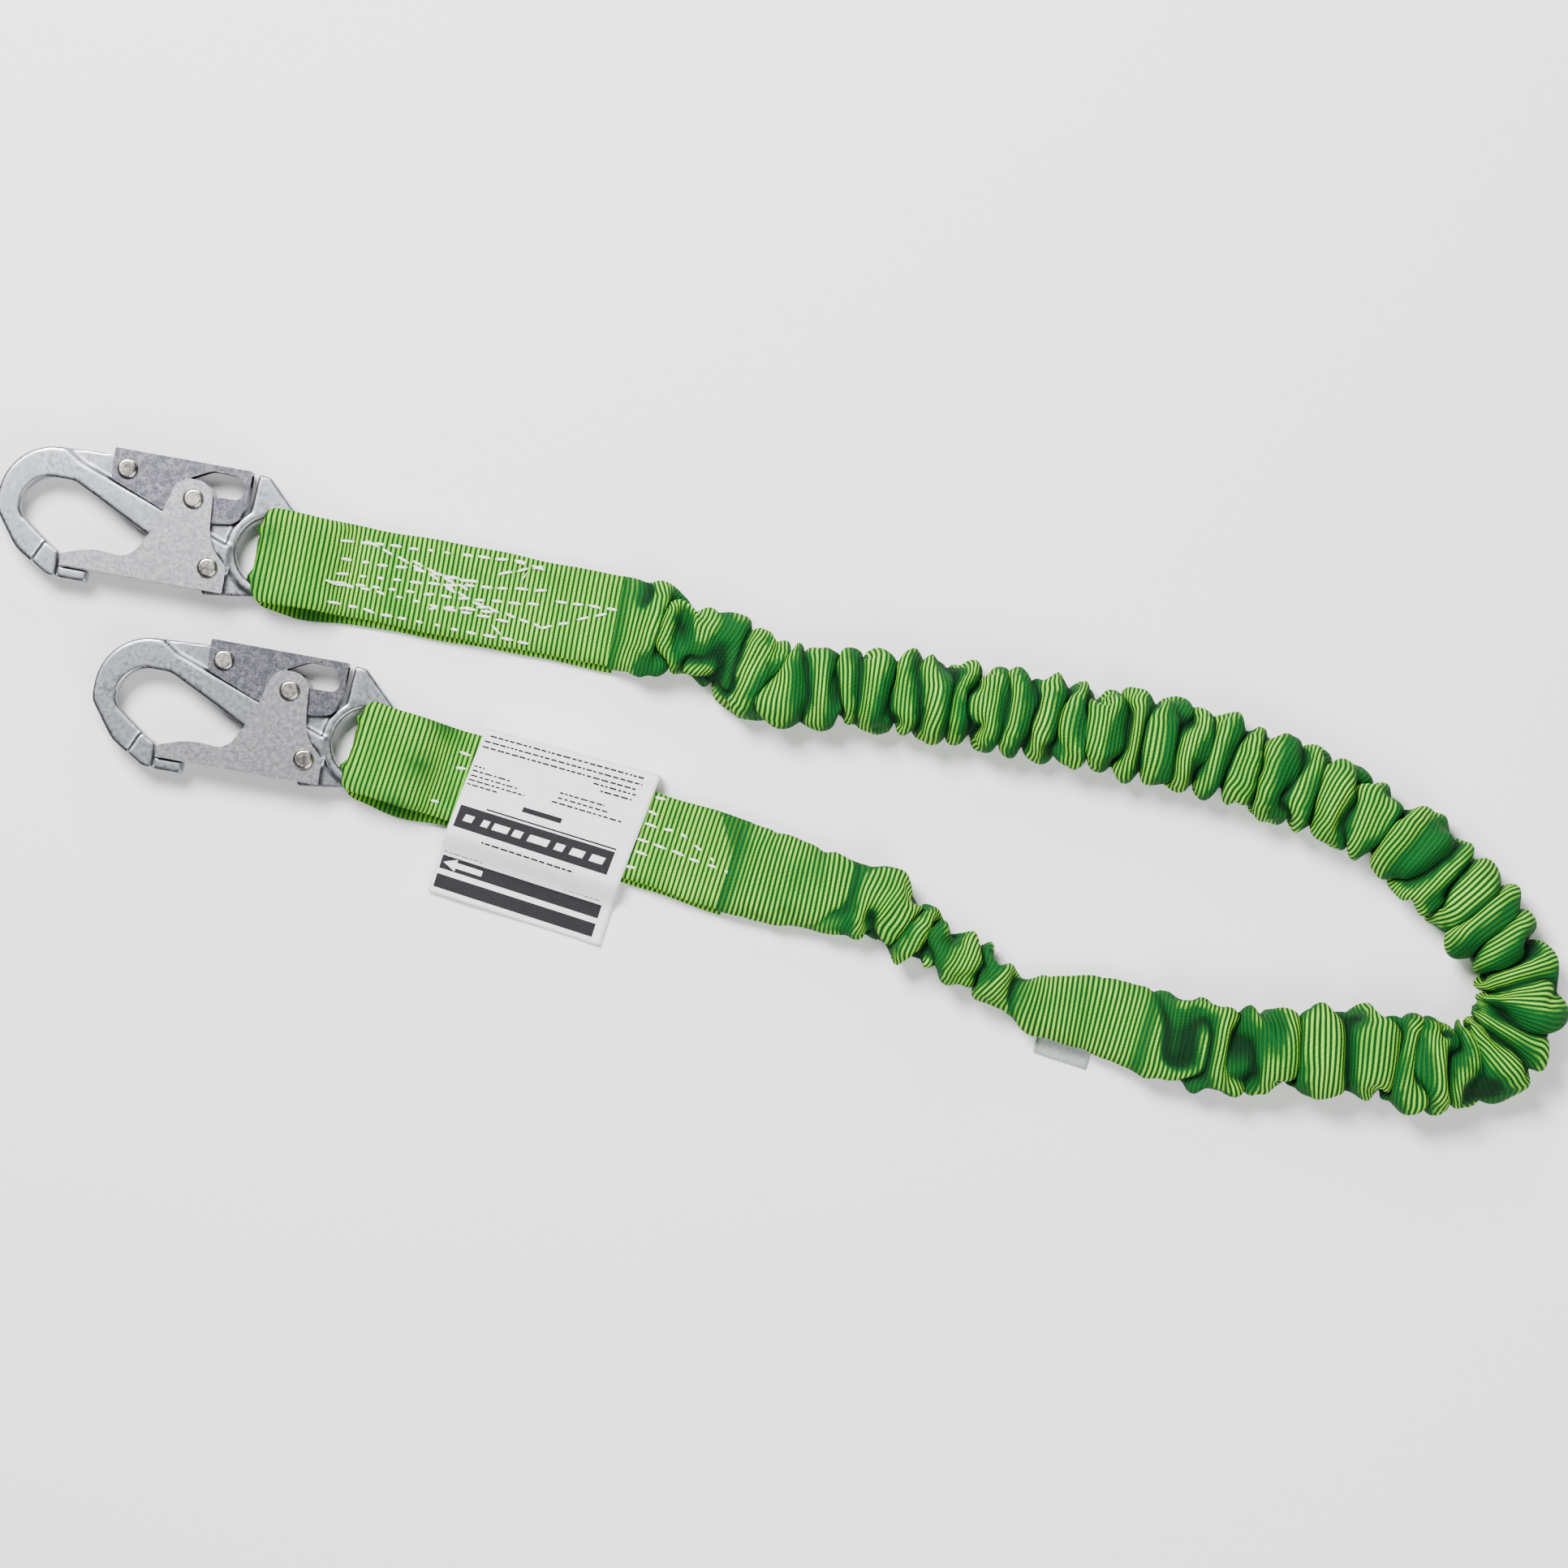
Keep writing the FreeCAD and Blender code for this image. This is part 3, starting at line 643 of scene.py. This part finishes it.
def gathered_jacket(core_strip):
    line = route_line()
    verts, even, painted_shade = jacket_grid(line)
    rows, cols = painted_shade.shape
    obj = new_mesh("gathered_jacket_cloth", verts.reshape(-1, 3), grid_faces(rows, cols, True))
    uv = wrapped_uv(even, cols, FLAT_ROUND)
    set_uv(obj, uv.reshape(-1, 2), FLAT_ROUND)
    set_painted_shade(obj, painted_shade)
    paint(obj, GATHERED_SHADED)
    settle(obj, even, core_strip)
    smooth = obj.modifiers.new("smooth", "SUBSURF")
    smooth.levels = 1
    smooth.render_levels = 1
    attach(obj, "webbing")
    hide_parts("gathered_jacket")


CLOTH_FRAMES = 7
HELD_ROWS = 4
SPRING_BACK = 1.04
CLOTH_SETTINGS = {
    "quality": 4, "mass": 0.02, "air_damping": 3.0, "tension_stiffness": 12, "compression_stiffness": 12,
    "shear_stiffness": 4, "bending_model": "ANGULAR", "bending_stiffness": 0.25, "tension_damping": 12,
    "compression_damping": 12, "shear_damping": 8, "bending_damping": 1.0,
}
CLOTH_GRAVITY = 0.12


def settle(obj, even, core_strip):
    """Cloth simulation: the gathered fabric, a little too long for its place, pushes out and settles.

    It rests as a straight tube, its two ends are held, and it meets the floor and the core strip.
    """
    rows, cols = even.shape
    obj.shape_key_add(name="Basis")
    rest = obj.shape_key_add(name="rest")
    angle = np.arange(cols) / cols * TAU
    radius = FLAT_ROUND / TAU
    flat = np.zeros((rows, cols, 3))
    flat[..., 0] = even * SPRING_BACK
    flat[..., 1] = np.cos(angle)[None, :] * radius
    flat[..., 2] = np.sin(angle)[None, :] * radius
    rest.data.foreach_set("co", flat.astype(np.float32).ravel())
    pin = obj.vertex_groups.new(name="pin")
    held_rows = list(range(HELD_ROWS)) + list(range(rows - HELD_ROWS, rows))
    pin.add([i * cols + j for i in held_rows for j in range(cols)], 1.0, "REPLACE")
    bpy.ops.mesh.primitive_plane_add(size=3, location=(0.1, 0, -0.0008))
    ground = bpy.context.object
    ground.modifiers.new("hit", "COLLISION")
    ground.collision.thickness_outer = 0.0006
    ground.collision.cloth_friction = 8
    blocker = bpy.data.objects.new("blocker", core_strip.data.copy())
    bpy.context.scene.collection.objects.link(blocker)
    blocker.modifiers.new("hit", "COLLISION")
    blocker.collision.thickness_outer = 0.0015
    cloth = obj.modifiers.new("cloth", "CLOTH")
    cloth.settings.rest_shape_key = rest
    cloth.settings.vertex_group_mass = "pin"
    for key, value in CLOTH_SETTINGS.items():
        setattr(cloth.settings, key, value)
    cloth.settings.effector_weights.gravity = CLOTH_GRAVITY
    cloth.collision_settings.distance_min = 0.0008
    cloth.collision_settings.collision_quality = 2
    cloth.point_cache.frame_start, cloth.point_cache.frame_end = 1, CLOTH_FRAMES
    scene = bpy.context.scene
    for step in range(1, CLOTH_FRAMES + 1):
        scene.frame_set(step)
    settled = obj.evaluated_get(bpy.context.evaluated_depsgraph_get()).to_mesh()
    co = np.zeros(rows * cols * 3, np.float32)
    settled.vertices.foreach_get("co", co)
    obj.modifiers.remove(cloth)
    obj.shape_key_clear()
    obj.data.vertices.foreach_set("co", co)
    obj.data.update()
    for extra in (ground, blocker):
        bpy.data.objects.remove(extra)
    scene.frame_set(1)


CORE_COLS, CORE_STEP, CORE_THICK, CORE_ROUND = 24, 0.003, 0.0028, 0.05


def shock_core():
    """Flat undyed strip through the middle of the jacket, narrow where the jacket is narrow."""
    s, p, t, n = along_line(route_line(), CORE_STEP)
    left, right, high, deep, long = shape_at(s)
    verts = np.zeros((len(s), CORE_COLS, 3))
    for i in range(len(s)):
        inner = min(left[i], right[i]) - deep[i] * 1.4
        across, height = flat_section(inner * 1.25, CORE_THICK, CORE_COLS)
        verts[i] = p[i] + n[i] * across[:, None]
        verts[i, :, 2] = CORE_Z + height
    obj = new_mesh("shock_core_strip", verts.reshape(-1, 3), grid_faces(len(s), CORE_COLS, True))
    set_uv(obj, wrapped_uv(s[:, None], CORE_COLS, CORE_ROUND).reshape(-1, 2), CORE_ROUND)
    paint(obj, CORE)
    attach(obj, "webbing")
    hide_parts("shock_core")
    p[:, 2] = CORE_Z
    return obj


gathered_jacket(shock_core())


# ------------------------------------------------------------------ sewing
# Rows of stitches on each upper ply: (along, across) in millimetres
ROWS_A = [
    [(28.3, 12.1), (60, 14.6), (110.7, 18.0)], [(29.8, 4.3), (64.6, 5.6), (92, 5.4)],
    [(29.1, -2.2), (75, 1.6), (119.1, 7.4)], [(28.6, -6.1), (80, -3.2), (120.4, 0.9)],
    [(25.4, -6.4), (62, -7.6), (105.8, -9.2)], [(27.7, -14.8), (70, -16.2), (117.4, -16.6)],
    [(38.9, 13.7), (67.3, 5.1), (89.3, -3.4), (119.7, -8.8)], [(119.7, -8.8), (150.4, 4.1)],
    [(123.7, 3.7), (151.0, 4.6)], [(98.1, 11.0), (117.8, 18.2)], [(103.1, 17.3), (118.8, 15.9)],
    [(107.4, 8.9), (111.8, 18.3)], [(97.0, 10.1), (106.3, 14.5)], [(84.9, -6.8), (100.1, -6.2)],
    [(73.7, 5.1), (88.7, 4.9)], [(98.6, -11.9), (103.1, -15.1)], [(75.9, 0.4), (83.8, -1.3)],
    [(29.9, -6.9), (38.8, -5.8)], [(70, -9.9), (98, -4.0)], [(60, 8.8), (88, 0.6)],
]
ROWS_B = [
    [(38.2, 10.0), (43.9, 10.8)], [(37.9, 3.2), (43.6, 4.0)], [(34.2, -2.7), (42.9, -3.7)],
    [(33.2, -13.0), (42.0, -12.5)], [(124.7, 17.4), (131.4, 17.9)], [(122.7, 10.9), (129.0, 10.8)],
    [(123.8, 5.6), (139.8, 6.2), (161.2, -2.2)], [(122.4, -1.7), (141.4, -2.4), (165.5, -3.7)],
    [(120.4, -14.8), (129.4, -13.6)], [(123.5, -7.0), (129.0, -7.2)],
]
MM = 0.001
STITCH, STITCH_GAP = 0.0052, 0.0026
THREAD_R, THREAD_BOW, THREAD_SUNK = 0.00058, 0.00042, 0.00012
RISE_FROM, RISE_TO = 0.0380, 0.0200


def ply_top(end, u):
    """Height of the upper ply's top face at distance u from the eye's centre, rising towards the eye."""
    flat = PLY * 2 + PLY_GAP + end.raised
    return flat + (HOOK_Z + LOOP_IN + PLY - flat) * ease(u, RISE_FROM, RISE_TO)


def add_stitch(verts, faces, end, place_at, skew):
    """One small bowed pillow of thread, sunk at both ends; place_at gives (u, v) at a share of it."""
    ring, parts = 8, 9
    first = len(verts)
    for k in range(parts):
        f = k / (parts - 1)
        u, v = place_at(f)
        v += skew[0] + (skew[1] - skew[0]) * f
        fat = THREAD_R * math.sin(math.pi * (0.08 + 0.84 * f)) ** 0.5
        base = ply_top(end, u) + THREAD_BOW * math.sin(math.pi * f) - THREAD_SUNK
        for m in range(ring):
            a = TAU * m / ring
            x, y = to_world(end, u, v + fat * 1.1 * math.cos(a) + end.shift)
            verts.append((x, y, base + fat * 0.85 * math.sin(a)))
    for k in range(parts - 1):
        for m in range(ring):
            a, b = first + k * ring + m, first + k * ring + (m + 1) % ring
            faces.append((a, b, b + ring, a + ring))
    faces.append(tuple(first + m for m in reversed(range(ring))))
    faces.append(tuple(first + (parts - 1) * ring + m for m in range(ring)))


def stitching(end, rows, seed):
    """Rows of separate stitches, uneven in length, gap and slant."""
    rng = np.random.default_rng(seed)
    verts, faces = [], []
    for row in rows:
        line = np.array(row) * MM
        dist = np.concatenate([[0], np.cumsum(np.linalg.norm(np.diff(line, axis=0), axis=1))])
        place = 0.0
        while place + STITCH * 0.6 < dist[-1]:
            long = min(STITCH * rng.uniform(0.85, 1.15), dist[-1] - place)
            skew = rng.normal(0, 0.00022, 2)

            def place_at(share):
                at = place + long * share
                return np.interp(at, dist, line[:, 0]), np.interp(at, dist, line[:, 1])

            add_stitch(verts, faces, end, place_at, skew)
            place += long + STITCH_GAP * rng.uniform(0.7, 1.2)
    obj = new_mesh("end_" + end.side + "_stitches", verts, faces)
    paint(obj, THREAD)
    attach(obj, "webbing")
    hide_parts("end_" + end.side + "_stitching")


# ------------------------------------------------------------------ label
# In end b's frame: where it starts along the webbing, its width, and the places across of its fold, of the
# front flap's free edge, and of the webbing's near edge, where the flap drops to the floor
LABEL_FROM, LABEL_WIDE, LABEL_FLAT = 0.0434, 0.0780, 0.158
LABEL_FOLD, LABEL_EDGE = 0.0225, -0.0522
DROP_FROM, DROP_TO = -0.0235, -0.0370
FOLD_R = 0.0012
LABEL_TOP = PLY * 2 + PLY_GAP + END_B.raised + 0.0011
LABEL_UNDER, LABEL_LOW = 0.0003, 0.0016
INK_LIFT, PAPER_LIFT = 0.00026, 0.00034


def flap_level(v):
    """Height of the front flap at v across the webbing, without its curl."""
    return LABEL_TOP + (LABEL_LOW - LABEL_TOP) * ease(v, DROP_FROM, DROP_TO)


def front_flap(a, v):
    """Height of the front flap at a along the label's width and v across the webbing, with its curl."""
    curl = 0.0007 * math.sin(a * 62 + 0.8) * max(0.0, (-0.02 - v) / 0.03)
    ripple = 0.00025 * math.sin(a * 95 + v * 120)
    return flap_level(v) + curl + ripple


def label_point(a, v, z):
    """World point of a place on the label, which is slightly out of square."""
    share = min(max((v + 0.0234) / 0.0457, 0.0), 1.0)
    u = LABEL_FROM + 0.0027 * share + a
    return (*to_world(END_B, u, v + 0.0035 * share * a / LABEL_WIDE), z)


def label_profile():
    """(v, z, is_front) round the folded sheet: the front flap, the fold and the back flap."""
    bend = LABEL_FOLD - FOLD_R
    middle, reach = (LABEL_TOP + LABEL_UNDER) / 2, (LABEL_TOP - LABEL_UNDER) / 2
    profile = [(v, flap_level(v), True) for v in np.linspace(LABEL_EDGE, bend, 60)]
    for k in range(1, 12):
        a = math.pi / 2 - math.pi * k / 12
        profile.append((bend + FOLD_R * math.cos(a), middle + reach * math.sin(a), False))
    return profile + [(v, LABEL_UNDER, False) for v in np.linspace(bend, LABEL_EDGE + 0.0008, 50)]


def label():
    """One vinyl sheet folded over the webbing's far edge, with a generic printed face."""
    cols = 40
    widths = [LABEL_WIDE * j / (cols - 1) for j in range(cols)]
    profile = label_profile()
    verts, uv = [], []
    run, last = 0.0, profile[0]
    for v, z, is_front in profile:
        run += math.hypot(v - last[0], z - last[1])
        last = (v, z)
        for a in widths:
            height = front_flap(a, v) if is_front else z
            verts.append(label_point(a, v, max(height, LABEL_UNDER)))
            uv.append((a, run))
    obj = new_mesh("label_sheet", verts, grid_faces(len(profile), cols, False))
    set_uv(obj, uv)
    thick = obj.modifiers.new("thick", "SOLIDIFY")
    thick.thickness = 0.0004
    thick.offset = 0
    paint(obj, VINYL)
    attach(obj, "webbing")
    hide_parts("label")
    printed = label_print()


def print_layout():
    """Dark boxes (a0, a1, v0, v1) in millimetres: rows of short bars for text, a banner and two bands."""
    rng = np.random.default_rng(17)
    boxes = []

    def bars(v, a0, a1, high):
        a = a0
        while a < a1:
            word = rng.uniform(1.0, 3.4)
            boxes.append((a, min(a + word, a1), v - high / 2, v + high / 2))
            a += word + rng.uniform(0.5, 0.9)

    for v, a0, a1 in ((19.6, 3, 72), (16.9, 1.5, 72), (14.4, 1.5, 70), (12.2, 52, 71), (9.9, 56, 70)):
        bars(v, a0, a1, 0.75)
    for v, a1 in ((5.4, 6), (3.4, 18), (1.2, 22), (-0.8, 26), (-2.8, 15)):
        bars(v, 1.2, a1, 0.7)
    for v, a0, a1 in ((4.6, 40, 60), (2.4, 40, 62), (0.2, 38, 70)):
        bars(v, a0, a1, 0.7)
    boxes += [(27.5, 45.0, -7.6, -5.4), (2.0, 71.5, -22.0, -12.2), (13.0, 71.5, -11.4, -10.7)]
    bars(-25.2, 16, 58, 0.8)
    bars(-33.4, 1.5, 19, 0.8)
    bars(-33.4, 56, 73, 0.8)
    boxes += [(1.5, 73.5, -41.2, -35.2), (1.5, 73.5, -49.6, -43.6)]
    return boxes


BLANKS = ((5, 9), (13, 16), (18, 25), (27, 31), (34, 43), (46, 50), (53, 59), (62, 68))
ARROW = (
    [(2.6, -38.2), (8.4, -40.8), (8.4, -38.2), (8.4, -38.2)],
    [(2.6, -38.2), (8.4, -38.2), (8.4, -35.6), (8.4, -35.6)],
    [(8.0, -39.4), (20.0, -39.4), (20.0, -37.0), (8.0, -37.0)],
)


def label_print():
    """Generic marks over the front flap, with no lettering: ink, then blank blocks and an arrow on it."""
    verts, faces = [], []

    def patch(corners, steps, lift):
        """A small quad that follows the flap; its corners are (a, v) in millimetres."""
        first = len(verts)
        c = np.array(corners) * MM
        for i in range(steps + 1):
            f = i / steps
            for j in range(steps + 1):
                g = j / steps
                a, v = (c[0] * (1 - g) + c[1] * g) * (1 - f) + (c[3] * (1 - g) + c[2] * g) * f
                verts.append(label_point(a, v, front_flap(a, v) + lift))
        for i in range(steps):
            for j in range(steps):
                k = first + i * (steps + 1) + j
                faces.append((k, k + 1, k + steps + 2, k + steps + 1))

    for a0, a1, v0, v1 in print_layout():
        patch([(a0, v0), (a1, v0), (a1, v1), (a0, v1)], 12 if a1 - a0 > 12 else 2, INK_LIFT)
    inked = len(faces)
    for a0, a1 in BLANKS:
        patch([(a0, -18.6), (a1, -18.6), (a1 + 0.6, -15.6), (a0 + 0.6, -15.6)], 3, PAPER_LIFT)
    for corners in ARROW:
        patch(corners, 3, PAPER_LIFT)
    obj = new_mesh("label_print", verts, faces, smooth=False)
    obj.data.materials.append(INK)
    obj.data.materials.append(VINYL)
    obj.data.polygons.foreach_set("material_index", (np.arange(len(faces)) >= inked).astype(int))
    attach(obj, "webbing")
    return obj


# ------------------------------------------------------------------ small tag
TAG_LONG, TAG_SHOWS = 0.024, 0.0125
TAG_AT = (0.361, -0.1535)
TAG_TURN = math.radians(-9)


def small_tag():
    """Folded corner of a woven tag that shows under the jacket."""
    rows, cols = 9, 13
    c, d = math.cos(TAG_TURN), math.sin(TAG_TURN)
    verts, uv = [], []
    for i in range(rows):
        for j in range(cols):
            a, v = TAG_LONG * j / (cols - 1), TAG_SHOWS * i / (rows - 1)
            x, y = END_A.eye[0] + TAG_AT[0] + a * c - v * d, END_A.eye[1] + TAG_AT[1] + a * d + v * c
            z = 0.0008 + 0.0005 * math.sin(a * 190 + 0.5) * (1 - i / (rows - 1)) ** 2
            verts.append((x, y, z))
            uv.append((a, v))
    obj = new_mesh("sewn_in_tag_cloth", verts, grid_faces(rows, cols, False))
    set_uv(obj, uv)
    thick = obj.modifiers.new("thick", "SOLIDIFY")
    thick.thickness = 0.0006
    paint(obj, TAG)
    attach(obj, "webbing")
    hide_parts("sewn_in_tag")


stitching(END_A, ROWS_A, 5)
stitching(END_B, ROWS_B, 6)
label()
small_tag()


# ------------------------------------------------------------------ floor and light
STAGE_MIDDLE = (0.1, 0, 0)
FLOOR_Z = -0.0002
LIGHTS = (
    ("key", (-0.6, 0.8, 1.6), 0.7, 92.0),
    ("fill", (0.9, -0.9, 1.4), 1.2, 34.0),
    ("rim", (0.2, 1.3, 0.7), 0.5, 9.0),
)
SKY = (("From Min", 0.15), ("From Max", 0.93), ("To Min", 0.26), ("To Max", 2.1))


def add_floor():
    bpy.ops.mesh.primitive_plane_add(size=6, location=(STAGE_MIDDLE[0], STAGE_MIDDLE[1], FLOOR_Z))
    floor = bpy.context.object
    floor.name = "floor"
    paint(floor, Nodes("floor").set(color=(0.93, 0.93, 0.93), rough=0.9))


def add_sky():
    """World light that is dim at the horizon and bright overhead."""
    world = bpy.data.worlds.new("world")
    world.use_nodes = True
    tree = world.node_tree
    split = tree.nodes.new("ShaderNodeSeparateXYZ")
    tree.links.new(tree.nodes.new("ShaderNodeTexCoord").outputs["Generated"], split.inputs[0])
    ramp = tree.nodes.new("ShaderNodeMapRange")
    for socket, value in SKY:
        ramp.inputs[socket].default_value = value
    tree.links.new(split.outputs[2], ramp.inputs["Value"])
    tree.links.new(ramp.outputs[0], tree.nodes["Background"].inputs[1])
    bpy.context.scene.world = world


def add_lights():
    for name, place, size, power in LIGHTS:
        light = bpy.data.lights.new(name, "AREA")
        light.size = size
        light.energy = power
        obj = bpy.data.objects.new(name, light)
        obj.location = place
        obj.rotation_euler = (Vector(STAGE_MIDDLE) - Vector(place)).to_track_quat("-Z", "Y").to_euler()
        bpy.context.scene.collection.objects.link(obj)


add_floor()
add_sky()
add_lights()
